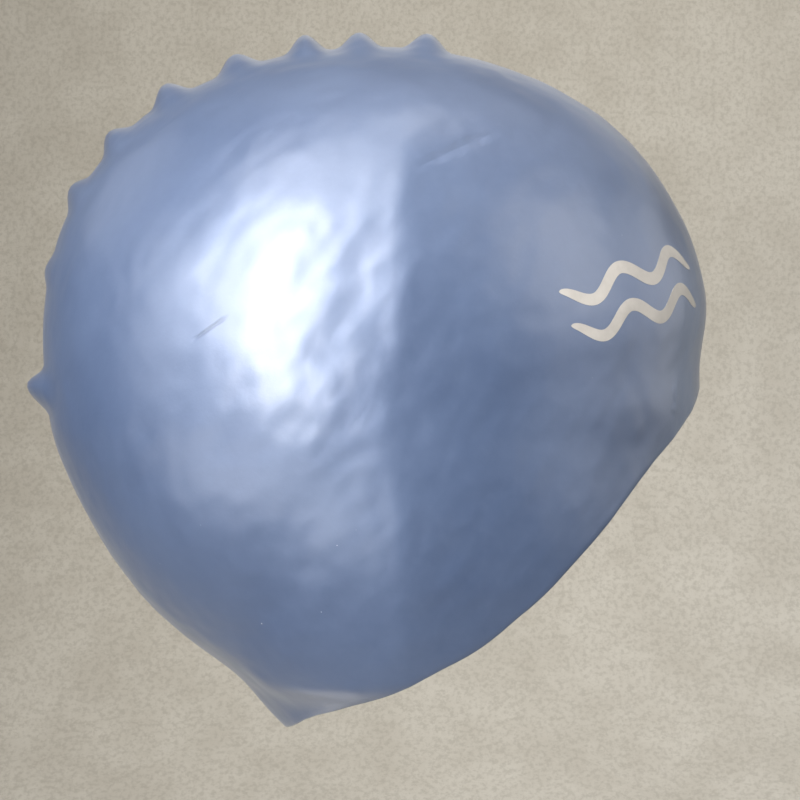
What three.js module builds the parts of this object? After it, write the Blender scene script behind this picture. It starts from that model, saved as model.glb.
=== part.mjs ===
// A silicone swim cap, in the stretched form that it has when worn.
// It is one moulded shell: a domed wall that reaches over the ears, thicker inside the rim, with a row of
// puckers where slack wall stands up along the midline from the crown to the back, a low ridge down each
// side, and a hollow where the wall hugs the nape.
// Millimetres. +X points to the forehead, +Y to the wearer's left and +Z up. The origin is the inner face of
// the crown, on the midline above the ears, where the cap is held up.

import * as THREE from "three";
import { mergeVertices } from "three/addons/utils/BufferGeometryUtils.js";

// Driving dimensions
const CAP_LENGTH = 202; // forehead to back, outside
const CAP_WIDTH = 156; // side to side, outside, at the ear line
const CAP_HEIGHT = 205.5; // crown to the lowest point of the rim, outside
const WALL = 1;
const RIM_WALL = 1.6; // the wall at the rim
const RIM_BAND = 7; // how far up from the rim the wall is thickened
const PUCKER_HEIGHT = 5.5;
const PUCKER_LENGTH = 14.5; // along the midline
const PUCKER_WIDTH = 62; // across the midline
const RIDGE_HEIGHT = 2; // the low ridge down each side, above the ear line
const RIDGE_SPREAD = 20; // how far in front of and behind the ridge it fades out
const RIDGE_ROUND = 2.5; // how softly its top is rounded
const HOLLOW_DEPTH = 2.2; // the hollow at the nape
const HOLLOW_WIDTH = 20;

// How square the cross-section is: 2 is an ellipse, and more fills out its sides.
const SQUARENESS = 2.25;

// The outline from the side, on spokes from the ear line. angle is in degrees from straight ahead, up over
// the crown and down the back. reach is the distance to the outline, as a share of the cap's length and
// height. From the nape on forward to the brow, the rows carry the dome on below the rim.
const OUTLINE = [
  { angle: 0, reach: 0.447 },
  { angle: 8, reach: 0.453 },
  { angle: 17, reach: 0.479 },
  { angle: 30, reach: 0.497 },
  { angle: 50, reach: 0.514 },
  { angle: 70, reach: 0.516 },
  { angle: 91, reach: 0.5225 },
  { angle: 101, reach: 0.5295 },
  { angle: 111, reach: 0.5425 },
  { angle: 121, reach: 0.5555 },
  { angle: 132, reach: 0.573 },
  { angle: 143, reach: 0.578 },
  { angle: 153, reach: 0.575 },
  { angle: 168, reach: 0.5555 },
  { angle: 176, reach: 0.541 },
  { angle: 185, reach: 0.532 },
  { angle: 193, reach: 0.516 },
  { angle: 200, reach: 0.5055 },
  { angle: 215, reach: 0.49 },
  { angle: 230, reach: 0.4795 },
  { angle: 238, reach: 0.485 },
  { angle: 244, reach: 0.504 },
  { angle: 250, reach: 0.517 },
  { angle: 270, reach: 0.568 },
  { angle: 290, reach: 0.575 },
  { angle: 310, reach: 0.556 },
  { angle: 330, reach: 0.485 },
  { angle: 345, reach: 0.445 },
];

// Where the wall ends, from the nape forward to the brow, as a share of the outline's reach.
const RIM = [
  { angle: 249.5, share: 1 },
  { angle: 252, share: 0.925 },
  { angle: 256, share: 0.852 },
  { angle: 262, share: 0.765 },
  { angle: 270, share: 0.68 },
  { angle: 277, share: 0.633 },
  { angle: 285, share: 0.606 },
  { angle: 300, share: 0.571 },
  { angle: 315, share: 0.585 },
  { angle: 330, share: 0.672 },
  { angle: 345, share: 0.799 },
  { angle: 354, share: 0.897 },
  { angle: 363, share: 1 },
];

// The puckers, from the crown to the back. height and length are shares of the named sizes, and lean is how
// far a pucker tips up towards the crown, as a share of its height.
const PUCKERS = [
  { angle: 86.1, height: 1, length: 1.1, lean: 0 },
  { angle: 97.1, height: 0.97, length: 1.05, lean: 0 },
  { angle: 105.8, height: 1.08, length: 1, lean: 0 },
  { angle: 116.8, height: 0.93, length: 1.1, lean: 0 },
  { angle: 128, height: 0.98, length: 1.05, lean: 0 },
  { angle: 138.4, height: 0.78, length: 1, lean: 0 },
  { angle: 148.1, height: 0.65, length: 1, lean: 0.1 },
  { angle: 160.2, height: 0.32, length: 0.85, lean: 0 },
  { angle: 178.6, height: 1.15, length: 1.05, lean: 0.3 },
];

// The deepest line of the hollow at the nape, from the midline forward past the rim, as a share of the
// outline's reach.
const NAPE_HOLLOW = [
  { angle: 235, share: 1 },
  { angle: 242, share: 0.975 },
  { angle: 248, share: 0.93 },
  { angle: 255, share: 0.86 },
  { angle: 262, share: 0.8 },
  { angle: 270, share: 0.75 },
];
const HOLLOW_FADE = 8; // degrees in which each end of the hollow fades

// Rings of corners, from the midline and rim in to the side. share is the way out from the side, and kinds
// are the spokes that have a corner on the ring.
const RINGS = [
  { share: 1, kinds: ["main", "even", "fine"] },
  { share: 0.96, kinds: ["main", "even", "fine"] },
  { share: 0.91, kinds: ["main", "even", "fine"] },
  { share: 0.84, kinds: ["main", "even", "fine"] },
  { share: 0.75, kinds: ["main", "even"] },
  { share: 0.64, kinds: ["main", "even"] },
  { share: 0.52, kinds: ["main", "even"] },
  { share: 0.38, kinds: ["main", "even"] },
  { share: 0.2, kinds: ["main"] },
];
const MAIN_STEP = 10; // degrees between main spokes
const EVEN_STEP = MAIN_STEP / 2;
const RIM_STEP = EVEN_STEP / 2;
const PUCKER_STEPS = [-1, -0.6, -0.3, 0, 0.3, 0.6, 1]; // shares of a pucker's half length
const RIM_END = 8; // degrees, from each end of the rim, in which it swings out from the midline
const RIM_END_SPOKES = 5;
const LEAST_STEP = 0.3; // degrees
const LIP_STEPS = 3; // facets round the edge of the rim

const radians = THREE.MathUtils.degToRad;
const degrees = THREE.MathUtils.radToDeg;
const smoothstep = THREE.MathUtils.smoothstep;

const WHOLE_TURN = 360;
const NAPE_ANGLE = RIM[0].angle;
const BROW_ANGLE = RIM[RIM.length - 1].angle;
const onTurn = (turn) => OUTLINE.map((row) => ({ ...row, angle: row.angle + turn }));
const OUTLINE_ROUND = [...onTurn(-WHOLE_TURN), ...onTurn(0), ...onTurn(WHOLE_TURN)];

// A smooth curve through a column of a table, read at an angle.
function readTable(rows, column, angle) {
  const last = rows.length - 1;
  const at = THREE.MathUtils.clamp(rows.findLastIndex((row) => row.angle <= angle), 0, last - 1);
  const [before, from] = [rows[Math.max(at - 1, 0)], rows[at]];
  const [to, after] = [rows[at + 1], rows[Math.min(at + 2, last)]];
  const width = to.angle - from.angle;
  const share = THREE.MathUtils.clamp((angle - from.angle) / width, 0, 1);
  const slopeFrom = (to[column] - before[column]) / (to.angle - before.angle);
  const slopeTo = (after[column] - from[column]) / (after.angle - from.angle);
  const square = share ** 2;
  const cube = share ** 3;
  return (
    from[column] * (2 * cube - 3 * square + 1) +
    to[column] * (3 * square - 2 * cube) +
    width * (slopeFrom * (cube - 2 * square + share) + slopeTo * (cube - square))
  );
}

const reachAt = (angle) => readTable(OUTLINE_ROUND, "reach", angle);
const rimAt = (angle) => (angle > NAPE_ANGLE ? readTable(RIM, "share", angle) : 1);
const EAR_LINE = WALL - reachAt(90) * CAP_HEIGHT; // its height, below the outside of the crown

// The distance from the ear line to the outline on a spoke.
function outlineDistance(angle) {
  const turn = radians(angle);
  return reachAt(angle) * Math.hypot(CAP_LENGTH * Math.cos(turn), CAP_HEIGHT * Math.sin(turn));
}

// A bump that is 1 at 0 and falls smoothly to 0 at 1.
const bell = (t) => (Math.abs(t) < 1 ? (1 - t * t) ** 2 : 0);

// The smooth dome at a share of the way along a spoke to the outline, on the left (side 1) or right (-1).
function domePoint(angle, share, side) {
  const reach = reachAt(angle) * share;
  return new THREE.Vector3(
    CAP_LENGTH * reach * Math.cos(radians(angle)),
    (side * CAP_WIDTH * Math.sqrt(Math.max(0, 1 - share ** SQUARENESS))) / 2,
    EAR_LINE + CAP_HEIGHT * reach * Math.sin(radians(angle)),
  );
}

// A measure that is 1 on the dome, less inside it and more outside.
function domeMeasure(point) {
  const forward = point.x / CAP_LENGTH;
  const up = (point.z - EAR_LINE) / CAP_HEIGHT;
  const share = Math.hypot(forward, up) / reachAt(degrees(Math.atan2(up, forward)));
  return share ** SQUARENESS + ((2 * point.y) / CAP_WIDTH) ** 2;
}

function domeNormal(point) {
  const step = 0.05;
  const slope = (x, y, z) => {
    const offset = new THREE.Vector3(x, y, z).multiplyScalar(step);
    return domeMeasure(point.clone().add(offset)) - domeMeasure(point.clone().sub(offset));
  };
  return new THREE.Vector3(slope(1, 0, 0), slope(0, 1, 0), slope(0, 0, 1)).normalize();
}

// How far the wall stands off the dome at a pucker.
function puckerRise(pucker, angle, point) {
  const along = radians(angle - pucker.angle) * outlineDistance(pucker.angle);
  const alongShare = (2 * along) / (PUCKER_LENGTH * pucker.length);
  const acrossShare = (2 * point.y) / PUCKER_WIDTH;
  return PUCKER_HEIGHT * pucker.height * bell(alongShare) * bell(acrossShare);
}

function ridgeRise(point) {
  const sideShare = (2 * Math.abs(point.y)) / CAP_WIDTH;
  const fade = Math.exp(-Math.hypot(point.x, RIDGE_ROUND) / RIDGE_SPREAD);
  return RIDGE_HEIGHT * fade * smoothstep(sideShare, 0.4, 0.75);
}

function hollowDepth(angle, share) {
  const first = NAPE_HOLLOW[0].angle;
  const last = NAPE_HOLLOW[NAPE_HOLLOW.length - 1].angle;
  const starts = smoothstep(angle, first - HOLLOW_FADE, first + HOLLOW_FADE);
  const ends = 1 - smoothstep(angle, last, last + HOLLOW_FADE);
  const across = (share - readTable(NAPE_HOLLOW, "share", angle)) * outlineDistance(angle);
  return HOLLOW_DEPTH * starts * ends * bell((2 * across) / HOLLOW_WIDTH);
}

// A point of the outside, with its puckers, ridge and hollow.
function outerPoint(angle, share, side) {
  const point = domePoint(angle, share, side);
  const normal = domeNormal(point);
  const towardsCrown = new THREE.Vector3(0, 1, 0).cross(normal).normalize();
  const moved = point.clone().addScaledVector(normal, ridgeRise(point) - hollowDepth(angle, share));
  for (const pucker of PUCKERS) {
    const rise = puckerRise(pucker, angle, point);
    moved.addScaledVector(normal, rise).addScaledVector(towardsCrown, rise * pucker.lean);
  }
  return moved;
}

// The spokes, closest together across the puckers, along the rim and where the rim leaves the midline.
function spokes() {
  const found = [{ angle: NAPE_ANGLE, kind: "main" }];
  const add = (asked, kind) => {
    const angle = asked < BROW_ANGLE - WHOLE_TURN ? asked + WHOLE_TURN : asked;
    const clear = found.every((other) => Math.abs(other.angle - angle) > LEAST_STEP);
    if (clear) found.push({ angle, kind });
  };
  add(BROW_ANGLE - WHOLE_TURN, "main");
  for (let angle = 0; angle < WHOLE_TURN; angle += MAIN_STEP) add(angle, "main");
  for (let angle = 0; angle < WHOLE_TURN; angle += EVEN_STEP) add(angle, "even");
  for (const pucker of PUCKERS) {
    const half = degrees((PUCKER_LENGTH * pucker.length) / 2 / outlineDistance(pucker.angle));
    for (const step of PUCKER_STEPS) add(pucker.angle + step * half, "fine");
  }
  for (let i = 1; i <= RIM_END_SPOKES; i++) {
    const swing = RIM_END * (i / RIM_END_SPOKES) ** 2;
    add(NAPE_ANGLE + swing, "fine");
    add(BROW_ANGLE - swing, "fine");
  }
  for (let angle = NAPE_ANGLE + RIM_END; angle < BROW_ANGLE - RIM_END; angle += RIM_STEP) add(angle, "fine");
  return found.sort((a, b) => a.angle - b.angle);
}

// Fills the band between two rings of corners, whatever the number in each.
function stitch(outer, inner, addTriangle) {
  const angleOf = (ring, i) => ring[i % ring.length].angle + WHOLE_TURN * Math.floor(i / ring.length);
  let [i, j] = [0, 0];
  while (i < outer.length || j < inner.length) {
    const [a, b] = [outer[i % outer.length].point, inner[j % inner.length].point];
    const innerDone = j >= inner.length;
    const outerDone = i >= outer.length;
    if (innerDone || (!outerDone && angleOf(outer, i + 1) <= angleOf(inner, j + 1))) {
      i += 1;
      addTriangle(a, outer[i % outer.length].point, b);
    } else {
      j += 1;
      addTriangle(a, inner[j % inner.length].point, b);
    }
  }
}

// The outside as one open surface, from the middle of each side out to the midline and the rim.
function outerSurface() {
  const corners = [];
  const allSpokes = spokes();
  for (const side of [-1, 1]) {
    const addTriangle = (a, b, c) => corners.push(...(side < 0 ? [a, b, c] : [a, c, b]));
    const cornerOn = (ring, spoke) => {
      const share = Math.sin(ring.share * Math.asin(rimAt(spoke.angle)));
      return { angle: spoke.angle, point: outerPoint(spoke.angle, share, side) };
    };
    const rings = RINGS.map((ring) =>
      allSpokes.filter((spoke) => ring.kinds.includes(spoke.kind)).map((spoke) => cornerOn(ring, spoke)),
    );
    for (let i = 1; i < rings.length; i++) stitch(rings[i - 1], rings[i], addTriangle);
    const middle = outerPoint(0, 0, side);
    const last = rings[rings.length - 1];
    last.forEach((corner, i) => addTriangle(corner.point, last[(i + 1) % last.length].point, middle));
  }
  return mergeVertices(new THREE.BufferGeometry().setFromPoints(corners), 1e-3);
}

// The edges that only one triangle has, as pairs of corner numbers.
function freeEdges(index) {
  const edges = new Map();
  for (let i = 0; i < index.length; i += 3) {
    for (let k = 0; k < 3; k++) {
      const [from, to] = [index[i + k], index[i + ((k + 1) % 3)]];
      edges.set(`${from}_${to}`, [from, to]);
    }
  }
  return [...edges.values()].filter(([from, to]) => !edges.has(`${to}_${from}`));
}

// The wall's thickness at a distance from the rim.
const wallAt = (distance) => RIM_WALL + (WALL - RIM_WALL) * smoothstep(distance, RIM_BAND / 2, RIM_BAND);

// Gives the open surface its wall, on the inside, and rounds the edge of the rim.
function thicken(surface) {
  surface.computeVertexNormals();
  const position = surface.getAttribute("position");
  const normal = surface.getAttribute("normal");
  const index = surface.getIndex().array;
  const vectorsOf = (attribute) =>
    Array.from({ length: attribute.count }, (_, i) => new THREE.Vector3().fromBufferAttribute(attribute, i));
  const [outer, normals] = [vectorsOf(position), vectorsOf(normal)];

  const rimEdges = freeEdges(index);
  const rimCorners = rimEdges.map(([from]) => outer[from]);
  const rimDistance = (point) => Math.min(...rimCorners.map((corner) => corner.distanceTo(point)));
  const walls = outer.map((point) => wallAt(rimDistance(point)));
  const inner = outer.map((point, i) => point.clone().addScaledVector(normals[i], -walls[i]));

  const corners = [];
  for (let i = 0; i < index.length; i += 3) {
    const [a, b, c] = index.slice(i, i + 3);
    corners.push(outer[a], outer[b], outer[c], inner[c], inner[b], inner[a]);
  }

  const awayFromWall = new Map(rimEdges.map(([from]) => [from, new THREE.Vector3()]));
  for (const [from, to] of rimEdges) {
    const along = outer[to].clone().sub(outer[from]);
    for (const corner of [from, to]) awayFromWall.get(corner).add(along.clone().cross(normals[corner]));
  }
  const halfCircles = new Map();
  for (const [corner, direction] of awayFromWall) {
    direction.normalize();
    const middle = outer[corner].clone().lerp(inner[corner], 0.5);
    const onCircle = (step) => {
      const turn = (Math.PI * step) / LIP_STEPS;
      const radius = walls[corner] / 2;
      return middle
        .clone()
        .addScaledVector(normals[corner], radius * Math.cos(turn))
        .addScaledVector(direction, radius * Math.sin(turn));
    };
    halfCircles.set(corner, Array.from({ length: LIP_STEPS + 1 }, (_, step) => onCircle(step)));
  }
  for (const [from, to] of rimEdges) {
    const [a, b] = [halfCircles.get(from), halfCircles.get(to)];
    for (let i = 0; i < LIP_STEPS; i++) corners.push(a[i], a[i + 1], b[i], b[i], a[i + 1], b[i + 1]);
  }
  return mergeVertices(new THREE.BufferGeometry().setFromPoints(corners), 1e-3);
}

const silicone = new THREE.MeshStandardMaterial({ color: 0x5a76a8, roughness: 0.38, metalness: 0.15 });
const shell = new THREE.Mesh(thicken(outerSurface()), silicone);
shell.name = "cap_shell";

const cap = new THREE.Group();
cap.name = "swim_cap";
cap.add(shell);

export default cap;
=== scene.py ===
"""A blue silicone swim cap in the shape that it has when worn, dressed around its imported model."""

import math

import bpy
import numpy as np
from bpy.props import FloatProperty, FloatVectorProperty, IntProperty, PointerProperty
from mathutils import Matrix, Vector, noise


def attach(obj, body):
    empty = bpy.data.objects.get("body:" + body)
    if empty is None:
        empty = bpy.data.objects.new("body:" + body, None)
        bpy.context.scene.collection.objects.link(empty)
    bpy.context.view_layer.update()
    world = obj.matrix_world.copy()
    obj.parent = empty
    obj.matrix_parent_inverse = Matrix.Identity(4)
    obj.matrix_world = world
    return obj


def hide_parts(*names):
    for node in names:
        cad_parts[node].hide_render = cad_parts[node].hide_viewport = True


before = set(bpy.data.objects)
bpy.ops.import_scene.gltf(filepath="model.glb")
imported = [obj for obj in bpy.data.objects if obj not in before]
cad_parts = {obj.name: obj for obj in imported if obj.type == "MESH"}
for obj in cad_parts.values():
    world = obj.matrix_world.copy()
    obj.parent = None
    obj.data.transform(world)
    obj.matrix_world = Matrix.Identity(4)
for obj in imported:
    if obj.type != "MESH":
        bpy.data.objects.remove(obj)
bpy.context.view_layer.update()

bl_info = {
    "name": "Silicone swim cap",
    "version": (1, 0, 0),
    "blender": (4, 5, 0),
    "location": "View3D > Sidebar > Swim cap",
    "description": "Makes a moulded silicone swim cap, its printed waves and a plain studio around it",
    "category": "Object",
}

CAD_NODE = "cap_shell"
BODY = "root"
MM = 0.001

# The outline from the side, on spokes from the ear line. angle is in degrees from straight ahead, up over the
# crown and down the back. reach is the distance to the outline, as a share of the cap's length and height.
OUTLINE = [
    {"angle": 0, "reach": 0.447},
    {"angle": 8, "reach": 0.453},
    {"angle": 17, "reach": 0.479},
    {"angle": 30, "reach": 0.497},
    {"angle": 50, "reach": 0.514},
    {"angle": 70, "reach": 0.516},
    {"angle": 91, "reach": 0.5225},
    {"angle": 101, "reach": 0.5295},
    {"angle": 111, "reach": 0.5425},
    {"angle": 121, "reach": 0.5555},
    {"angle": 132, "reach": 0.573},
    {"angle": 143, "reach": 0.578},
    {"angle": 153, "reach": 0.575},
    {"angle": 168, "reach": 0.5555},
    {"angle": 176, "reach": 0.541},
    {"angle": 185, "reach": 0.532},
    {"angle": 193, "reach": 0.516},
    {"angle": 200, "reach": 0.5055},
    {"angle": 215, "reach": 0.49},
    {"angle": 230, "reach": 0.4795},
    {"angle": 238, "reach": 0.485},
    {"angle": 244, "reach": 0.504},
    {"angle": 250, "reach": 0.517},
    {"angle": 270, "reach": 0.568},
    {"angle": 290, "reach": 0.575},
    {"angle": 310, "reach": 0.556},
    {"angle": 330, "reach": 0.485},
    {"angle": 345, "reach": 0.445},
]

# Where the wall ends, from the nape forward to the brow, as a share of the outline's reach.
RIM = [
    {"angle": 249.5, "share": 1},
    {"angle": 252, "share": 0.925},
    {"angle": 256, "share": 0.852},
    {"angle": 262, "share": 0.765},
    {"angle": 270, "share": 0.68},
    {"angle": 277, "share": 0.633},
    {"angle": 285, "share": 0.606},
    {"angle": 300, "share": 0.571},
    {"angle": 315, "share": 0.585},
    {"angle": 330, "share": 0.672},
    {"angle": 345, "share": 0.799},
    {"angle": 354, "share": 0.897},
    {"angle": 363, "share": 1},
]

# The puckers, from the crown to the back. height and length are shares of the sizes in the panel, and lean is how
# far a pucker tips up towards the crown, as a share of its height.
PUCKERS = [
    {"angle": 86.1, "height": 1, "length": 1.1, "lean": 0},
    {"angle": 97.1, "height": 0.97, "length": 1.05, "lean": 0},
    {"angle": 105.8, "height": 1.08, "length": 1, "lean": 0},
    {"angle": 116.8, "height": 0.93, "length": 1.1, "lean": 0},
    {"angle": 128, "height": 0.98, "length": 1.05, "lean": 0},
    {"angle": 138.4, "height": 0.78, "length": 1, "lean": 0},
    {"angle": 148.1, "height": 0.65, "length": 1, "lean": 0.1},
    {"angle": 160.2, "height": 0.32, "length": 0.85, "lean": 0},
    {"angle": 178.6, "height": 1.15, "length": 1.05, "lean": 0.3},
]

# The deepest line of the hollow at the nape, from the midline forward past the rim. share is a share of the
# outline's reach.
NAPE_HOLLOW = [
    {"angle": 235, "share": 1},
    {"angle": 242, "share": 0.975},
    {"angle": 248, "share": 0.93},
    {"angle": 255, "share": 0.86},
    {"angle": 262, "share": 0.8},
    {"angle": 270, "share": 0.75},
]
HOLLOW_FADE = 8  # degrees in which each end of the hollow fades

WHOLE_TURN = 360
NAPE_ANGLE = RIM[0]["angle"]
BROW_ANGLE = RIM[-1]["angle"]


class CapSizes(bpy.types.PropertyGroup):
    """The sizes of the cap, as in its solid model."""

    length: FloatProperty(name="Length", description="Forehead to back", default=0.202, unit="LENGTH")
    width: FloatProperty(name="Width", description="Side to side at the ear line", default=0.156, unit="LENGTH")
    height: FloatProperty(
        name="Height", description="Crown to the lowest point of the rim", default=0.2055, unit="LENGTH"
    )
    squareness: FloatProperty(
        name="Squareness", description="How far the cross-section fills out; 2 is an ellipse", default=2.25
    )
    wall: FloatProperty(name="Wall", description="Thickness of the wall", default=0.001, unit="LENGTH")
    rim_wall: FloatProperty(name="Rim wall", description="Thickness at the rim", default=0.0016, unit="LENGTH")
    rim_band: FloatProperty(
        name="Rim band", description="How far up from the rim the wall is thicker", default=0.007, unit="LENGTH"
    )
    pucker_height: FloatProperty(
        name="Pucker height", description="How far a pucker stands up", default=0.0055, unit="LENGTH"
    )
    pucker_length: FloatProperty(
        name="Pucker length", description="Size of a pucker along the midline", default=0.0145, unit="LENGTH"
    )
    pucker_width: FloatProperty(
        name="Pucker width", description="Size of a pucker across the midline", default=0.062, unit="LENGTH"
    )
    ridge_height: FloatProperty(
        name="Ridge height", description="Height of the low ridge down each side", default=0.002, unit="LENGTH"
    )
    ridge_spread: FloatProperty(
        name="Ridge spread", description="Distance in which the ridge fades", default=0.02, unit="LENGTH"
    )
    hollow_depth: FloatProperty(
        name="Hollow depth", description="Depth of the hollow at the nape", default=0.0022, unit="LENGTH"
    )
    hollow_width: FloatProperty(
        name="Hollow width", description="Width of the hollow at the nape", default=0.02, unit="LENGTH"
    )
    lump_height: FloatProperty(
        name="Lump height", description="Height of the soft lumps in the stretched wall", default=0.00023,
        unit="LENGTH",
    )
    rings: IntProperty(name="Rings", description="Rows of faces from the crown to the rim", default=160)


class CapFinish(bpy.types.PropertyGroup):
    """The colours of the silicone, its pearl clouds and its print."""

    blue: FloatVectorProperty(
        name="Silicone", description="Main colour", subtype="COLOR", default=(0.048, 0.075, 0.147),
        min=0, max=1,
    )
    pearl: FloatVectorProperty(
        name="Pearl", description="Colour of the pearl clouds", subtype="COLOR", default=(0.06, 0.09, 0.167),
        min=0, max=1,
    )
    ink: FloatVectorProperty(
        name="Print", description="Colour of the print", subtype="COLOR", default=(0.33, 0.315, 0.3),
        min=0, max=1,
    )


class StudioSettings(bpy.types.PropertyGroup):
    """Where the camera stands, how much it takes in and how far down the floor lies."""

    camera_distance: FloatProperty(
        name="Camera distance", description="From the camera to the cap's midline", default=0.6, unit="LENGTH"
    )
    view_height: FloatProperty(
        name="View height", description="Height that the camera takes in at the midline", default=0.2462,
        unit="LENGTH",
    )
    floor_depth: FloatProperty(
        name="Floor depth", description="Distance of the floor below the crown", default=0.75, unit="LENGTH"
    )


def read_table(rows, column, angles):
    """A smooth curve through a column of a table, read at angles."""
    at = np.array([row["angle"] for row in rows], float)
    values = np.array([row[column] for row in rows], float)
    last = len(rows) - 1
    i = np.clip(np.searchsorted(at, angles, side="right") - 1, 0, last - 1)
    before, after = np.maximum(i - 1, 0), np.minimum(i + 2, last)
    width = at[i + 1] - at[i]
    share = np.clip((angles - at[i]) / width, 0, 1)
    slope_from = (values[i + 1] - values[before]) / (at[i + 1] - at[before])
    slope_to = (values[after] - values[i]) / (at[after] - at[i])
    square, cube = share**2, share**3
    return (
        values[i] * (2 * cube - 3 * square + 1)
        + values[i + 1] * (3 * square - 2 * cube)
        + width * (slope_from * (cube - 2 * square + share) + slope_to * (cube - square))
    )


def bell(t):
    """A bump that is 1 at 0 and falls smoothly to 0 at 1."""
    return np.where(np.abs(t) < 1, (1 - t**2) ** 2, 0)


def smoothstep(t, low, high):
    """0 below low, 1 above high, and smooth between them."""
    share = np.clip((t - low) / (high - low), 0, 1)
    return share * share * (3 - 2 * share)


def unit(vectors):
    """Vectors of length 1."""
    return vectors / np.linalg.norm(vectors, axis=-1, keepdims=True)


class CapSurface:
    """The outside of the cap, worked out along directions from its middle, at the ear line."""

    SMOOTHING = 2.5  # degrees over which the outline's rows are blended
    OUTLINE_STEP = 0.25  # degrees
    LUMP_LEAN = 32  # degrees
    LUMP_DRAW = 0.75
    LUMP_SIZE = 19 * MM
    RIDGE_ROUND = 2.5 * MM
    RIDGE_BEND = 3.5 * MM
    RIDGE_BEND_AT = -108 * MM
    RIDGE_BEND_REACH = 32 * MM
    CROWN_ANGLE = 90

    def __init__(self, sizes):
        self.sizes = sizes
        self.outline_angles = np.arange(0, WHOLE_TURN, self.OUTLINE_STEP)
        turns = (-WHOLE_TURN, 0, WHOLE_TURN)
        around = [{**row, "angle": row["angle"] + turn} for turn in turns for row in OUTLINE]
        self.outline_reach = self.blended(read_table(around, "reach", self.outline_angles))
        crown = float(self.reach(np.array(self.CROWN_ANGLE, float)))
        self.middle = np.array([0, 0, sizes.wall - crown * sizes.height])

    def blended(self, values):
        """Values round the outline, smoothed so that no row shows in the gloss."""
        offset = np.minimum(self.outline_angles, WHOLE_TURN - self.outline_angles)
        kernel = np.exp(-0.5 * (offset / self.SMOOTHING) ** 2)
        spectrum = np.fft.rfft(values) * np.fft.rfft(kernel / kernel.sum())
        return np.fft.irfft(spectrum, len(values))

    def reach(self, angles):
        """The outline's reach at angles in degrees."""
        return np.interp(angles % WHOLE_TURN, self.outline_angles, self.outline_reach, period=WHOLE_TURN)

    def outline_distance(self, angles):
        """The distance from the ear line to the outline on spokes."""
        turn = np.radians(angles)
        return self.reach(angles) * np.hypot(self.sizes.length * np.cos(turn), self.sizes.height * np.sin(turn))

    def place(self, points):
        """The spoke, in degrees from the brow's end of the rim on, and the share of the way out, for points."""
        offset = points - self.middle
        forward, up = offset[..., 0] / self.sizes.length, offset[..., 2] / self.sizes.height
        angles = np.degrees(np.arctan2(up, forward)) % WHOLE_TURN
        share = np.hypot(forward, up) / self.reach(angles)
        return np.where(angles < BROW_ANGLE - WHOLE_TURN, angles + WHOLE_TURN, angles), share

    def measure(self, points):
        """1 on the smooth dome, less inside it and more outside."""
        share = self.place(points)[1]
        across = 2 * (points - self.middle)[..., 1] / self.sizes.width
        return share**self.sizes.squareness + across**2

    def dome(self, directions):
        """Where directions from the middle meet the smooth dome."""
        share = self.place(self.middle + directions)[1]
        across = 2 * np.abs(directions[..., 1]) / self.sizes.width
        power = self.sizes.squareness
        distance = 1 / np.hypot(share, across)
        for _ in range(8):
            out = (distance * share) ** power
            side = (distance * across) ** 2
            distance = distance - (out + side - 1) / ((power * out + 2 * side) / distance)
        return self.middle + directions * distance[..., None]

    def normals(self, points):
        """The dome's outward normals."""
        step = 0.05 * MM
        slopes = [
            self.measure(points + step * axis) - self.measure(points - step * axis) for axis in np.identity(3)
        ]
        return unit(np.stack(slopes, axis=-1))

    def right_side(self, x, z):
        """The point of the smooth dome's right side that is this far forward and up."""
        low, high = 0.0, self.sizes.width
        for _ in range(40):
            side = (low + high) / 2
            point = np.array([x, -side, z])
            if self.measure(point) < 1:
                low = side
            else:
                high = side
        return point

    def ridge(self, points):
        """The low ridge down each side, above the ear line, bent back and softer at that line."""
        side = 2 * np.abs(points[..., 1]) / self.sizes.width
        bend = bell((points[..., 2] - self.RIDGE_BEND_AT) / self.RIDGE_BEND_REACH)
        forward = points[..., 0] + self.RIDGE_BEND * bend
        top = self.RIDGE_ROUND * (1 + bend)
        fade = np.exp(-np.hypot(forward, top) / self.sizes.ridge_spread)
        return self.sizes.ridge_height * fade * smoothstep(side, 0.4, 0.75)

    def hollow(self, angles, share):
        """The hollow at the nape."""
        first, last = NAPE_HOLLOW[0]["angle"], NAPE_HOLLOW[-1]["angle"]
        starts = smoothstep(angles, first - HOLLOW_FADE, first + HOLLOW_FADE)
        ends = 1 - smoothstep(angles, last, last + HOLLOW_FADE)
        across = (share - read_table(NAPE_HOLLOW, "share", angles)) * self.outline_distance(angles)
        return self.sizes.hollow_depth * starts * ends * bell(2 * across / self.sizes.hollow_width)

    def lumps(self, points):
        """Soft lumps where the wall is stretched over an uneven form. They lean forward as they go up."""
        lean = math.radians(self.LUMP_LEAN)
        across = points[..., 0] * math.cos(lean) - points[..., 2] * math.sin(lean)
        along = points[..., 0] * math.sin(lean) + points[..., 2] * math.cos(lean)
        drawn = np.stack([across, points[..., 1], along * self.LUMP_DRAW], axis=-1) / self.LUMP_SIZE
        fineness, doubling, octaves = 0.5, 2.0, 3
        height = np.array([noise.fractal(Vector(p), fineness, doubling, octaves) for p in drawn.reshape(-1, 3)])
        return self.sizes.lump_height * height.reshape(points.shape[:-1])

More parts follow.
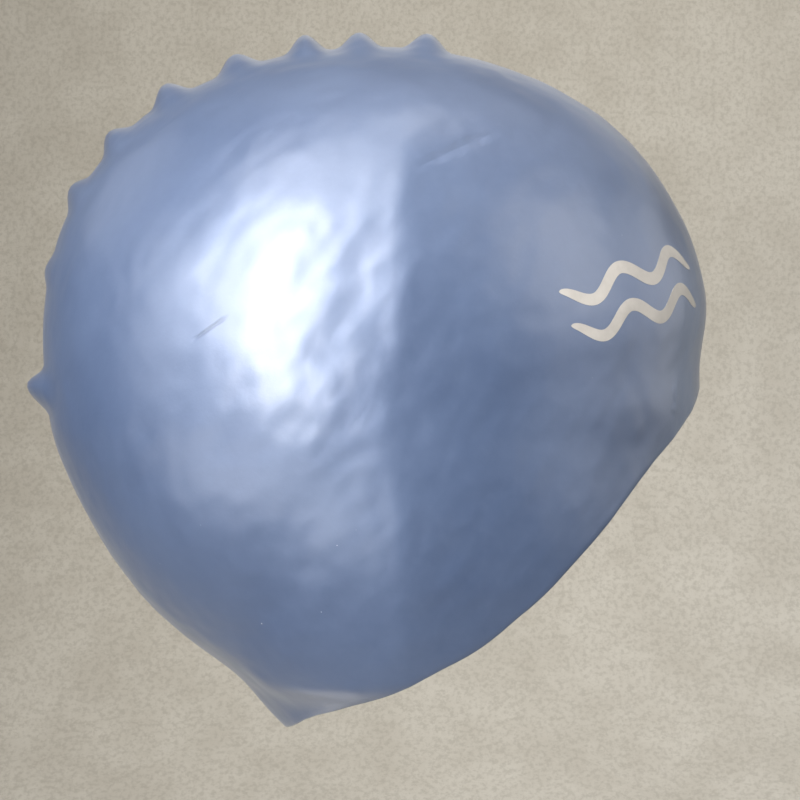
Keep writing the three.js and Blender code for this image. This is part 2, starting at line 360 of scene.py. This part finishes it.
    def outside(self, directions):
        """Points of the outside of the cap in directions from its middle."""
        sizes = self.sizes
        dome = self.dome(directions)
        normals = self.normals(dome)
        angles, share = self.place(dome)
        towards_crown = unit(np.cross([0, 1, 0], normals))
        rise = self.ridge(dome) + self.lumps(dome) - self.hollow(angles, share)
        points = dome + normals * rise[..., None]
        for pucker in PUCKERS:
            distance = float(self.outline_distance(np.array(pucker["angle"], float)))
            along = np.radians(angles - pucker["angle"]) * distance
            along_share = 2 * along / (sizes.pucker_length * pucker["length"])
            across_share = 2 * dome[..., 1] / sizes.pucker_width
            up = sizes.pucker_height * pucker["height"] * bell(along_share) * bell(across_share)
            points = points + (normals + towards_crown * pucker["lean"]) * up[..., None]
        return points


class CapMesh:
    """Rings of corners from a point near the crown down to the rim, on the outside and the inside."""

    POLE_ANGLE = 122  # degrees, between two puckers
    RIM_SEARCH = (100, 150)  # degrees from the pole
    ROUND_RIM = 400
    LIP_STEPS = 6

    def __init__(self, surface, sizes):
        self.surface = surface
        self.sizes = sizes
        pole = math.radians(self.POLE_ANGLE)
        self.pole = np.array([math.cos(pole), 0, math.sin(pole)])
        self.forward = np.array([math.sin(pole), 0, -math.cos(pole)])
        self.left = np.array([0, 1, 0])

    def directions(self, turns, tilts):
        """Unit vectors at turns round the pole and tilts away from it, in radians."""
        flat = self.forward * np.cos(turns)[..., None] + self.left * np.sin(turns)[..., None]
        return self.pole * np.cos(tilts)[..., None] + flat * np.sin(tilts)[..., None]

    def rim_tilts(self, turns):
        """How far from the pole the rim lies, at turns round it."""
        low, high = (np.full(len(turns), math.radians(limit)) for limit in self.RIM_SEARCH)
        for _ in range(30):
            tilts = (low + high) / 2
            angles, share = self.surface.place(self.surface.dome(self.directions(turns, tilts)))
            rim = np.where(angles > NAPE_ANGLE, read_table(RIM, "share", angles), 1 + MM)
            inside = share < rim
            low, high = np.where(inside, tilts, low), np.where(inside, high, tilts)
        return tilts

    def sheet(self, rings):
        """Corners and faces of the outside, with so many rows of faces."""
        whole = np.arange(self.ROUND_RIM) * 2 * math.pi / self.ROUND_RIM
        rim = self.rim_tilts(whole)
        corners, faces, starts, counts = [self.pole[None, :]], [], [0], [1]
        for ring in range(1, rings + 1):
            share = ring / rings
            spacing = math.sin(min(share * rim.mean(), math.pi / 2))
            halvings = next(k for k in (0, 1, 2, 3) if spacing > 0.5 ** (k + 1) or k == 3)
            skip = 2**halvings
            starts.append(sum(counts))
            counts.append(self.ROUND_RIM // skip)
            corners.append(self.directions(whole[::skip], rim[::skip] * share))
        for start, count, next_start, next_count in zip(starts, counts, starts[1:], counts[1:]):
            for i in range(next_count):
                a, b = next_start + i, next_start + (i + 1) % next_count
                if count == 1:
                    faces.append((start, a, b))
                elif count == next_count:
                    faces.append((start + i, a, b, start + (i + 1) % count))
                elif i % 2 == 0:
                    faces.append((start + i // 2, a, b))
                else:
                    faces.append((start + i // 2, a, b, start + (i // 2 + 1) % count))
        return self.surface.outside(np.concatenate(corners)), faces, starts[-1]

    def build(self):
        """Corners and faces of the whole wall, as one closed skin."""
        outer, outer_faces, outer_rim = self.sheet(self.sizes.rings)
        inner, inner_faces, inner_rim = self.sheet(self.sizes.rings // 3)
        outer_normals = corner_normals(outer, outer_faces)
        inner_normals = corner_normals(inner, inner_faces)
        inner_normals[inner_rim:] = outer_normals[outer_rim:]
        inner = inner - inner_normals * self.wall(inner, outer[outer_rim:])[:, None]
        rim, rim_normals = outer[outer_rim:], outer_normals[outer_rim:]
        lip, lip_faces = self.lip(rim, rim_normals, outer_rim, len(outer) + inner_rim)
        lip_start = len(outer) + len(inner)
        faces = list(outer_faces)
        faces += [tuple(len(outer) + i for i in reversed(face)) for face in inner_faces]
        faces += [tuple(i if kind else lip_start + i for kind, i in face) for face in lip_faces]
        return np.concatenate([outer, inner, lip]), faces

    def wall(self, points, rim):
        """The wall's thickness at points, thicker near the rim."""
        distance = np.array([np.linalg.norm(rim - point, axis=1).min() for point in points])
        sizes = self.sizes
        thin = smoothstep(distance, sizes.rim_band / 2, sizes.rim_band)
        return sizes.rim_wall + (sizes.wall - sizes.rim_wall) * thin

    def lip(self, rim, normals, outer_start, inner_start):
        """The rounded edge of the rim. A face's corner is (True, its number) on a wall, or (False, its number) on
        the lip."""
        count = len(rim)
        along = np.roll(rim, -1, axis=0) - np.roll(rim, 1, axis=0)
        down = unit(np.cross(along, normals))
        if (down[0] @ self.pole) > 0:
            down = -down
        radius = self.sizes.rim_wall / 2
        middle = rim - normals * radius
        rows = []
        for step in range(1, self.LIP_STEPS):
            turn = math.pi * step / self.LIP_STEPS
            rows.append(middle + normals * radius * math.cos(turn) + down * radius * math.sin(turn))
        at = [[(True, outer_start + i) for i in range(count)]]
        at += [[(False, row * count + i) for i in range(count)] for row in range(len(rows))]
        at += [[(True, inner_start + i) for i in range(count)]]
        faces = []
        for upper, lower in zip(at, at[1:]):
            faces += [
                (upper[i], lower[i], lower[(i + 1) % count], upper[(i + 1) % count]) for i in range(count)
            ]
        return np.concatenate(rows), faces


def corner_normals(corners, faces):
    """Outward normals at the corners of a skin of triangles and quads."""
    normals = np.zeros_like(corners)
    for size in (3, 4):
        group = np.array([face for face in faces if len(face) == size])
        across = corners[group[:, 2]] - corners[group[:, 0]]
        other = corners[group[:, -1]] - corners[group[:, 1]]
        face_normals = np.cross(across, other)
        for k in range(size):
            np.add.at(normals, group[:, k], face_normals)
    normals = unit(normals)
    outward = (normals * (corners - corners.mean(axis=0))).sum()
    return normals if outward > 0 else -normals


def make_object(name, corners, faces, material):
    """A smooth mesh object with one material."""
    mesh = bpy.data.meshes.new(name)
    mesh.from_pydata([tuple(corner) for corner in corners], [], faces)
    mesh.validate()
    mesh.shade_smooth()
    mesh.set_sharp_from_angle(angle=math.radians(50))
    mesh.materials.append(material)
    piece = bpy.data.objects.new(name, mesh)
    bpy.context.scene.collection.objects.link(piece)
    return piece


class Tree:
    """A node tree that takes nodes with their values and links."""

    def __init__(self, tree):
        self.tree = tree

    def add(self, kind, inputs=None, **settings):
        """A new node. An input is a value, or the output that feeds it."""
        node = self.tree.nodes.new(kind)
        for name, value in settings.items():
            setattr(node, name, value)
        for name, value in (inputs or {}).items():
            if isinstance(value, bpy.types.NodeSocket):
                self.tree.links.new(value, node.inputs[name])
            else:
                node.inputs[name].default_value = value
        return node

    def math(self, operation, *values):
        """A sum, product or other result of one or two numbers."""
        return self.add("ShaderNodeMath", dict(enumerate(values)), operation=operation).outputs[0]

    def band(self, value, low, high, to_low=0.0, to_high=1.0):
        """A number that goes smoothly from to_low to to_high as value goes from low to high."""
        inputs = {"Value": value, "From Min": low, "From Max": high, "To Min": to_low, "To Max": to_high}
        return self.add("ShaderNodeMapRange", inputs, interpolation_type="SMOOTHSTEP").outputs[0]

    def noise(self, place, scale, detail=2.0, roughness=0.5):
        """Cloudy noise, near 0.5, with so many lumps to the metre."""
        inputs = {"Vector": place, "Scale": scale, "Detail": detail, "Roughness": roughness}
        return self.add("ShaderNodeTexNoise", inputs).outputs["Fac"]

    def mix(self, share, first, second):
        """A colour between two."""
        inputs = {"Factor": share, "A": first, "B": second}
        node = self.tree.nodes.new("ShaderNodeMix")
        node.data_type = "RGBA"
        for name, value in inputs.items():
            socket = next(s for s in node.inputs if s.name == name and s.enabled)
            if isinstance(value, bpy.types.NodeSocket):
                self.tree.links.new(value, socket)
            else:
                socket.default_value = value
        return next(s for s in node.outputs if s.enabled)


def effect(name, inputs, outputs, fill):
    """A shader node group, made once. fill takes the tree and the group's inputs and gives the outputs. An input
    with no default is a place or a direction."""
    if name in bpy.data.node_groups:
        return bpy.data.node_groups[name]
    group = bpy.data.node_groups.new(name, "ShaderNodeTree")
    for socket, default in inputs.items():
        kind = "NodeSocketVector" if default is None else "NodeSocketFloat"
        made = group.interface.new_socket(socket, in_out="INPUT", socket_type=kind)
        if kind == "NodeSocketFloat":
            made.default_value = default
    for socket in outputs:
        group.interface.new_socket(socket, in_out="OUTPUT", socket_type="NodeSocketFloat")
    tree = Tree(group)
    given = tree.add("NodeGroupInput").outputs
    results = fill(tree, given)
    tree.add("NodeGroupOutput", dict(zip(outputs, results)))
    return group


def stretched_skin(tree, given):
    """Lumps of the stretched skin, which lean forward as they go up, and the mould's fine grain."""
    turned = tree.add(
        "ShaderNodeVectorRotate", {"Vector": given["Place"], "Angle": math.radians(-35)}, rotation_type="Y_AXIS"
    ).outputs[0]
    drawn = tree.add("ShaderNodeVectorMath", {0: turned, 1: (1, 1, 0.5)}, operation="MULTIPLY").outputs[0]
    waves = tree.math("MULTIPLY", tree.noise(drawn, 90, 1, 0.5), given["Wave Height"])
    lumps = tree.math("MULTIPLY", tree.noise(drawn, 260, 2, 0.55), given["Lump Height"])
    grain = tree.math("MULTIPLY", tree.noise(given["Place"], 1300, 2, 0.6), given["Grain Height"])
    return [tree.math("ADD", tree.math("ADD", waves, lumps), grain)]


# How far out of a line's plane the line starts to fade and is gone, so that the far side has none.
LINE_FADE = (10 * MM, 20 * MM)


def pressed_line(tree, given):
    """A shallow line in the skin between two places. The distance to it is measured square to Outward, so that the
    line follows the skin's curve."""

    def vector(operation, *values):
        return tree.add("ShaderNodeVectorMath", dict(enumerate(values)), operation=operation)

    def scaled(direction, amount):
        return tree.add("ShaderNodeVectorMath", {0: direction, "Scale": amount}, operation="SCALE").outputs[0]

    whole = vector("SUBTRACT", given["To"], given["From"]).outputs[0]
    offset = vector("SUBTRACT", given["Place"], given["From"]).outputs[0]
    out = vector("DOT_PRODUCT", offset, given["Outward"]).outputs["Value"]
    flat = vector("SUBTRACT", offset, scaled(given["Outward"], out)).outputs[0]
    along = tree.math(
        "DIVIDE",
        vector("DOT_PRODUCT", flat, whole).outputs["Value"],
        vector("DOT_PRODUCT", whole, whole).outputs["Value"],
    )
    across = vector("DISTANCE", flat, scaled(whole, along)).outputs["Value"]
    wobble = tree.math("MULTIPLY", tree.noise(given["Place"], 250, 1, 0.5), given["Width"])
    side = tree.math("DIVIDE", tree.math("ADD", across, wobble), given["Width"])
    middle = tree.band(side, 0.4, 1.5, 1, 0)
    ends = tree.math("MULTIPLY", tree.band(along, 0.0, 0.35), tree.band(along, 0.65, 1.0, 1, 0))
    near = tree.band(tree.math("ABSOLUTE", out), *LINE_FADE, 1, 0)
    shape = tree.math("MULTIPLY", tree.math("MULTIPLY", middle, ends), near)
    return [tree.math("MULTIPLY", shape, given["Depth"])]


def pearl_clouds(tree, given):
    """Where the pearl in the silicone lies thicker."""
    clouds = tree.band(tree.noise(given["Place"], given["Scale"], 4, 0.6), 0.3, 0.7)
    streaks = tree.band(tree.noise(given["Place"], 420, 3, 0.65), 0.35, 0.75)
    return [tree.math("ADD", tree.math("MULTIPLY", clouds, 0.7), tree.math("MULTIPLY", streaks, 0.3))]


def dust_specks(tree, given):
    """Specks of dust and lint."""
    cells = tree.add("ShaderNodeTexVoronoi", {"Vector": given["Place"], "Scale": given["Specks per Metre"]})
    speck = tree.band(cells.outputs["Distance"], given["Speck Size"], 0, 0, 1)
    kept = tree.band(tree.noise(given["Place"], 30, 2, 0.5), 0.5, 0.62)
    return [tree.math("MULTIPLY", speck, kept)]


def skin_effect():
    heights = {"Place": None, "Wave Height": 0.0003, "Lump Height": 0.0001, "Grain Height": 0.00002}
    return effect("Stretched skin", heights, ["Height"], stretched_skin)


def pearl_effect():
    return effect("Pearl clouds", {"Place": None, "Scale": 24.0}, ["Amount"], pearl_clouds)


def line_effect():
    sizes = {"Place": None, "From": None, "To": None, "Outward": None, "Width": 0.001, "Depth": -0.0001}
    return effect("Pressed line", sizes, ["Height"], pressed_line)


def dust_effect():
    sizes = {"Place": None, "Specks per Metre": 130.0, "Speck Size": 0.03}
    return effect("Dust specks", sizes, ["Mask"], dust_specks)


def new_material(name):
    """A material, and its tree with no nodes."""
    material = bpy.data.materials.new(name)
    material.use_nodes = True
    material.node_tree.nodes.clear()
    return material, Tree(material.node_tree)


def finish_material(tree, **sockets):
    """Puts the main shader and the output into a material's tree."""
    inputs = {name.replace("_", " ").title(): value for name, value in sockets.items()}
    shader = tree.add("ShaderNodeBsdfPrincipled", inputs)
    tree.add("ShaderNodeOutputMaterial", {"Surface": shader.outputs["BSDF"]})


def grouped(tree, group, place, **values):
    """A group's node, placed in a material."""
    node = tree.add("ShaderNodeGroup", node_tree=group)
    tree.tree.links.new(place, node.inputs["Place"])
    for name, value in values.items():
        node.inputs[name.replace("_", " ")].default_value = value
    return node.outputs


# Fine lines in the skin of the right side, in millimetres. from and to are places forward of the ear line's middle
# and up from the crown. depth is less than 0 for a groove and more for a low fold.
SIDE_LINES = [
    {"from": (-58.5, -91), "to": (-46.5, -83), "width": 0.8, "depth": -0.25},
    {"from": (0, -46), "to": (30, -30), "width": 2.6, "depth": -0.3},
    {"from": (79, -99), "to": (77.5, -114), "width": 3.6, "depth": 0.35},
]


def with_side_lines(tree, place, height, surface):
    """A height with the side's fine lines pressed into it."""
    for line in SIDE_LINES:
        start, end = (surface.right_side(*(value * MM for value in line[name])) for name in ("from", "to"))
        whole = unit(end - start)
        outward = surface.normals((start + end) / 2)
        outward = unit(outward - whole * (outward @ whole))
        pressed = grouped(
            tree, line_effect(), place, From=start, To=end, Outward=outward, Width=line["width"] * MM,
            Depth=line["depth"] * MM,
        )
        height = tree.math("ADD", height, pressed["Height"])
    return height


def silicone_material(finish, surface):
    """Blue silicone with pearl in it, glossy where it is stretched."""
    material, tree = new_material("Pearly silicone")
    place = tree.add("ShaderNodeNewGeometry").outputs["Position"]
    pearl = grouped(tree, pearl_effect(), place)
    dust = grouped(tree, dust_effect(), place)
    skin = grouped(tree, skin_effect(), place)
    colour = tree.mix(pearl["Amount"], (*finish.blue, 1), (*finish.pearl, 1))
    colour = tree.mix(dust["Mask"], colour, (0.75, 0.76, 0.78, 1))
    roughness = tree.band(pearl["Amount"], 0.0, 1.0, 0.42, 0.5)
    metallic = tree.math("MULTIPLY", tree.math("SUBTRACT", 1.0, dust["Mask"]), 0.3)
    height = with_side_lines(tree, place, skin["Height"], surface)
    bump = tree.add("ShaderNodeBump", {"Height": height, "Strength": 1.0, "Distance": 1.0})
    finish_material(
        tree, base_color=colour, metallic=metallic, roughness=roughness, normal=bump.outputs["Normal"],
        coat_weight=0.75, coat_roughness=0.3, sheen_weight=0.08, sheen_roughness=0.4,
        sheen_tint=(0.9, 0.88, 0.85, 1),
    )
    return material


def print_material(finish):
    """Matt pale ink on the silicone, slightly mottled."""
    material, tree = new_material("Pale grey ink")
    place = tree.add("ShaderNodeNewGeometry").outputs["Position"]
    pearl = grouped(tree, pearl_effect(), place, Scale=90.0)
    dust = grouped(tree, dust_effect(), place)
    skin = grouped(tree, skin_effect(), place, Grain_Height=0.00001)
    worn = tuple(channel * 0.8 for channel in finish.ink)
    colour = tree.mix(pearl["Amount"], (*worn, 1), (*finish.ink, 1))
    colour = tree.mix(dust["Mask"], colour, (0.8, 0.8, 0.8, 1))
    roughness = tree.band(pearl["Amount"], 0.0, 1.0, 0.5, 0.62)
    bump = tree.add("ShaderNodeBump", {"Height": skin["Height"], "Strength": 1.0, "Distance": 1.0})
    finish_material(tree, base_color=colour, roughness=roughness, normal=bump.outputs["Normal"])
    return material


def backdrop_material():
    """Warm grey plaster with clouds and fine pores."""
    material, tree = new_material("Warm grey backdrop")
    place = tree.add("ShaderNodeNewGeometry").outputs["Position"]
    clouds = tree.band(tree.noise(place, 9, 6, 0.7), 0.3, 0.7)
    colour = tree.mix(clouds, (0.55, 0.535, 0.505, 1), (0.63, 0.62, 0.595, 1))
    pores = tree.band(tree.noise(place, 130, 6, 0.75), 0.38, 0.56, 1, 0)
    colour = tree.mix(tree.math("MULTIPLY", pores, 0.4), colour, (0.36, 0.35, 0.325, 1))
    fibres = tree.noise(place, 300, 3, 0.6)
    bump = tree.add("ShaderNodeBump", {"Height": fibres, "Strength": 0.3, "Distance": 0.0005})
    finish_material(tree, base_color=colour, roughness=0.9, normal=bump.outputs["Normal"])
    return material


class PrintedWaves:
    """Two wavy lines printed beside the temple, as thin skins of ink on the silicone."""

    CENTRE = (67 * MM, -76 * MM)  # forward of the ear line's middle and below the crown
    SLANT = math.radians(22)
    LENGTH = 58 * MM
    STROKE = 3.6 * MM
    SWING = 3 * MM
    WAVELENGTH = 24 * MM
    SPACING = 11 * MM
    INK = 0.05 * MM
    SUNK = 0.05 * MM
    STEPS = 120
    ACROSS = 6

    def __init__(self, surface):
        self.surface = surface
        self.centre = surface.right_side(*self.CENTRE)
        outward = self.centre - surface.middle
        self.distance = np.linalg.norm(outward)
        self.outward = outward / self.distance
        slanted = np.array([math.cos(self.SLANT), 0, math.sin(self.SLANT)])
        self.along = unit(slanted - self.outward * (slanted @ self.outward))
        self.across = np.cross(self.along, self.outward)

    def wave(self, offset):
        """Corners and faces of one wavy line."""
        share = np.linspace(-1, 1, self.STEPS + 1)
        u = share * self.LENGTH / 2
        turn = 2 * math.pi * u / self.WAVELENGTH
        v = offset + self.SWING * np.sin(turn)
        slope = self.SWING * np.cos(turn) * 2 * math.pi / self.WAVELENGTH
        square = np.stack([-slope, np.ones_like(slope)], axis=-1) / np.hypot(slope, 1)[:, None]
        taper = np.sqrt(np.clip(1 - np.abs(share) ** 6, 0.0004, 1))
        steps = np.linspace(-0.5, 0.5, self.ACROSS + 1)
        shift = steps[None, :] * (self.STROKE * taper)[:, None]
        flat_u = u[:, None] + shift * square[:, None, 0]
        flat_v = v[:, None] + shift * square[:, None, 1]
        directions = unit(
            self.outward * self.distance
            + self.along * flat_u[..., None]
            + self.across * flat_v[..., None]
        )
        points = self.surface.outside(directions.reshape(-1, 3)).reshape(directions.shape)
        normals = self.surface.normals(points)
        top = points + normals * self.INK
        under = points - normals * self.SUNK
        return skin_of_grids(top, under)


def skin_of_grids(top, under):
    """A closed skin around two grids of points."""
    rows, columns = top.shape[:2]
    corners = np.concatenate([top.reshape(-1, 3), under.reshape(-1, 3)])
    below = rows * columns

    def at(row, column):
        return row * columns + column

    faces = []
    for row in range(rows - 1):
        for column in range(columns - 1):
            face = (at(row, column), at(row + 1, column), at(row + 1, column + 1), at(row, column + 1))
            faces += [face, tuple(below + i for i in reversed(face))]
    edge = [at(0, column) for column in range(columns)]
    edge += [at(row, columns - 1) for row in range(1, rows)]
    edge += [at(rows - 1, column) for column in range(columns - 2, -1, -1)]
    edge += [at(row, 0) for row in range(rows - 2, 0, -1)]
    for a, b in zip(edge, edge[1:] + edge[:1]):
        faces.append((a, b, below + b, below + a))
    return corners, faces


def joined(skins):
    """Several skins as one."""
    corners, faces = [], []
    for skin_corners, skin_faces in skins:
        start = sum(len(part) for part in corners)
        corners.append(skin_corners)
        faces += [tuple(start + i for i in face) for face in skin_faces]
    return np.concatenate(corners), faces


class SWIMCAP_OT_make_shell(bpy.types.Operator):
    """Makes the moulded silicone cap"""

    bl_idname = "swim_cap.make_shell"
    bl_label = "Make cap"

    def execute(self, context):
        sizes = context.scene.swim_cap_sizes
        surface = CapSurface(sizes)
        corners, faces = CapMesh(surface, sizes).build()
        material = silicone_material(context.scene.swim_cap_finish, surface)
        shell = make_object("silicone_cap", corners, faces, material)
        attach(shell, BODY)
        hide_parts(CAD_NODE)
        return {"FINISHED"}


class SWIMCAP_OT_print_waves(bpy.types.Operator):
    """Prints two wavy lines beside the right temple"""

    bl_idname = "swim_cap.print_waves"
    bl_label = "Print waves"

    def execute(self, context):
        waves = PrintedWaves(CapSurface(context.scene.swim_cap_sizes))
        half = waves.SPACING / 2
        corners, faces = joined([waves.wave(half), waves.wave(-half)])
        ink = make_object("printed_waves", corners, faces, print_material(context.scene.swim_cap_finish))
        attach(ink, BODY)
        return {"FINISHED"}


class SWIMCAP_OT_set_studio(bpy.types.Operator):
    """Sets up the backdrop, the lights and the camera"""

    bl_idname = "swim_cap.set_studio"
    bl_label = "Set studio"

    def execute(self, context):
        studio = context.scene.swim_cap_studio
        make_backdrop(studio)
        for light in LIGHTS:
            make_light(**light)
        light_backdrop()
        light_nape()
        make_world(context.scene)
        make_camera(context.scene, studio)
        return {"FINISHED"}


VIEW_MIDDLE = Vector((-0.9 * MM, 0, -106.4 * MM))
SENSOR = 36  # millimetres, as Blender gives it

# The soft lights around the cap. azimuth is in degrees to the right of the camera and elevation in degrees above
# it, seen from the middle of the view. size is the width and height in metres, spread the angle that the light fans
# out over in degrees, and power is in watts.
LIGHT_DISTANCE = 1.3
WHITE = (1, 0.99, 0.965)
WARM = (1, 0.93, 0.8)
COOL = (0.8, 0.9, 1)
LIGHTS = [
    {
        "name": "window_light", "azimuth": -26, "elevation": 27, "size": (0.15, 0.58), "spread": 60,
        "power": 1.85, "colour": WHITE,
    },
    {
        "name": "window_foot_light", "azimuth": -28, "elevation": 5, "size": (0.15, 0.42), "spread": 60,
        "power": 1.35, "colour": WHITE,
    },
    {
        "name": "window_edge_light", "azimuth": -40, "elevation": 20, "size": (0.3, 0.5), "spread": 60,
        "power": 0.85, "colour": WHITE,
    },
    {
        "name": "upper_curtain_light", "azimuth": -27, "elevation": 50, "size": (0.6, 0.8), "spread": 90,
        "power": 3, "colour": WHITE,
    },
    {
        "name": "side_curtain_light", "azimuth": -62, "elevation": 14, "size": (0.5, 0.9), "spread": 90,
        "power": 1.1, "colour": WHITE,
    },
    {
        "name": "low_curtain_light", "azimuth": -44, "elevation": -26, "size": (1.2, 0.5), "spread": 90,
        "power": 2.5, "colour": WHITE,
    },
    {
        "name": "warm_fill_light", "azimuth": 55, "elevation": 32, "size": (0.9, 0.9), "spread": 90,
        "power": 2.3, "colour": WARM,
    },
    {
        "name": "low_fill_light", "azimuth": 62, "elevation": 4, "size": (0.9, 0.8), "spread": 100,
        "power": 0.9, "colour": WHITE,
    },
    {
        "name": "side_fill_light", "azimuth": 100, "elevation": 14, "size": (0.8, 1), "spread": 120,
        "power": 2, "colour": WHITE,
    },
    {
        "name": "brow_fill_light", "azimuth": 128, "elevation": -2, "size": (0.6, 0.9), "spread": 110,
        "power": 0.24, "colour": COOL,
    },
    {
        "name": "forehead_fill_light", "azimuth": 133, "elevation": 36, "size": (0.6, 0.5), "spread": 110,
        "power": 0.12, "colour": WHITE,
    },
    {
        "name": "crown_fill_light", "azimuth": 98, "elevation": 56, "size": (0.8, 0.6), "spread": 90,
        "power": 0.3, "colour": WHITE,
    },
    {
        "name": "rear_fill_light", "azimuth": -102, "elevation": 38, "size": (0.8, 0.8), "spread": 120,
        "power": 1, "colour": WHITE,
    },
    {
        "name": "ceiling_light", "azimuth": 20, "elevation": 79, "size": (0.6, 0.3), "spread": 70,
        "power": 0.4, "colour": WHITE,
    },
    {
        "name": "rear_crown_light", "azimuth": 175, "elevation": 38, "size": (1.6, 0.5), "spread": 80,
        "power": 0.3, "colour": WHITE,
    },
    {
        "name": "overhead_light", "azimuth": 0, "elevation": 90, "size": (1.3, 1.3), "spread": 120,
        "power": 2.3, "colour": WHITE,
    },
]


def make_backdrop(studio):
    """A floor that sweeps up into a wall behind the cap."""
    front, back, top, half = -3.0, 2.4, 3.0, 4.0
    bend, bend_steps = 0.8, 24
    floor = -studio.floor_depth
    profile = [(front, floor)]
    for step in range(bend_steps + 1):
        turn = math.pi / 2 * step / bend_steps
        profile.append((back - bend + bend * math.sin(turn), floor + bend - bend * math.cos(turn)))
    profile.append((back, top))
    corners = [(side, y, z) for y, z in profile for side in (-half, half)]
    faces = [(2 * i, 2 * i + 1, 2 * i + 3, 2 * i + 2) for i in range(len(profile) - 1)]
    make_object("backdrop", corners, faces, backdrop_material())


def make_light(name, azimuth, elevation, size, spread, power, colour):
    """A rectangular soft light that faces the cap."""
    turn, rise = math.radians(azimuth), math.radians(elevation)
    towards = Vector((math.sin(turn) * math.cos(rise), -math.cos(turn) * math.cos(rise), math.sin(rise)))
    place_light(name, towards * LIGHT_DISTANCE, Vector(), size, spread, power, colour)


def light_backdrop():
    """A soft light on the wall behind the cap, turned away from the cap."""
    place, aim = Vector((0.3, 0.9, 1.4)), Vector((0, 2.4, -0.2))
    place_light("backdrop_light", place, aim, (2.2, 0.8), 120, 14.5, WARM)


def light_nape():
    """A small soft light below the back of the cap, for the skin that faces down at the nape."""
    place, aim = Vector((-0.15, 0.1, -0.43)), Vector((-0.02, -0.05, -0.08))
    place_light("nape_light", place, aim, (0.14, 0.14), 60, 0.011, WARM)


def place_light(name, place, aim, size, spread, power, colour):
    """A rectangular light. Its place and aim are seen from the middle of the view."""
    light = bpy.data.lights.new(name, "AREA")
    light.shape = "RECTANGLE"
    light.size, light.size_y = size
    light.spread = math.radians(spread)
    light.energy = power
    light.color = colour
    lamp = bpy.data.objects.new(name, light)
    lamp.location = VIEW_MIDDLE + place
    lamp.rotation_euler = (place - aim).to_track_quat("Z", "Y").to_euler()
    lamp.visible_camera = False
    bpy.context.scene.collection.objects.link(lamp)


def make_world(scene):
    """Plain warm grey light from all round."""
    world = bpy.data.worlds.new("studio_air")
    world.use_nodes = True
    background = world.node_tree.nodes["Background"]
    background.inputs["Color"].default_value = (0.62, 0.6, 0.57, 1)
    background.inputs["Strength"].default_value = 0.2
    scene.world = world
    scene.view_settings.view_transform = "Standard"


def make_camera(scene, studio):
    """A camera level with the cap's middle, square to its right side."""
    lens = bpy.data.cameras.new("camera")
    lens.sensor_width = SENSOR
    lens.lens = SENSOR * studio.camera_distance / studio.view_height
    camera = bpy.data.objects.new("camera", lens)
    camera.location = VIEW_MIDDLE - Vector((0, studio.camera_distance, 0))
    camera.rotation_euler = (math.pi / 2, 0, 0)
    scene.collection.objects.link(camera)
    scene.camera = camera


class SWIMCAP_PT_panel(bpy.types.Panel):
    """Lists the sizes, the colours and the buttons that make each piece"""

    bl_idname = "SWIMCAP_PT_panel"
    bl_label = "Swim cap"
    bl_space_type = "VIEW_3D"
    bl_region_type = "UI"
    bl_category = "Swim cap"

    def draw(self, context):
        scene = context.scene
        for settings in (scene.swim_cap_sizes, scene.swim_cap_finish, scene.swim_cap_studio):
            for name in settings.__annotations__:
                self.layout.prop(settings, name)
        for operator in OPERATORS:
            self.layout.operator(operator.bl_idname)


SETTINGS = {
    "swim_cap_sizes": CapSizes,
    "swim_cap_finish": CapFinish,
    "swim_cap_studio": StudioSettings,
}
OPERATORS = (SWIMCAP_OT_make_shell, SWIMCAP_OT_print_waves, SWIMCAP_OT_set_studio)


def register():
    for settings in SETTINGS.values():
        bpy.utils.register_class(settings)
    for operator in OPERATORS:
        bpy.utils.register_class(operator)
    bpy.utils.register_class(SWIMCAP_PT_panel)
    for name, settings in SETTINGS.items():
        setattr(bpy.types.Scene, name, PointerProperty(type=settings))


def unregister():
    for name in SETTINGS:
        delattr(bpy.types.Scene, name)
    bpy.utils.unregister_class(SWIMCAP_PT_panel)
    for operator in reversed(OPERATORS):
        bpy.utils.unregister_class(operator)
    for settings in reversed(SETTINGS.values()):
        bpy.utils.unregister_class(settings)


def main():
    register()
    bpy.ops.swim_cap.make_shell()
    bpy.ops.swim_cap.print_waves()
    bpy.ops.swim_cap.set_studio()


if __name__ == "__main__":
    main()
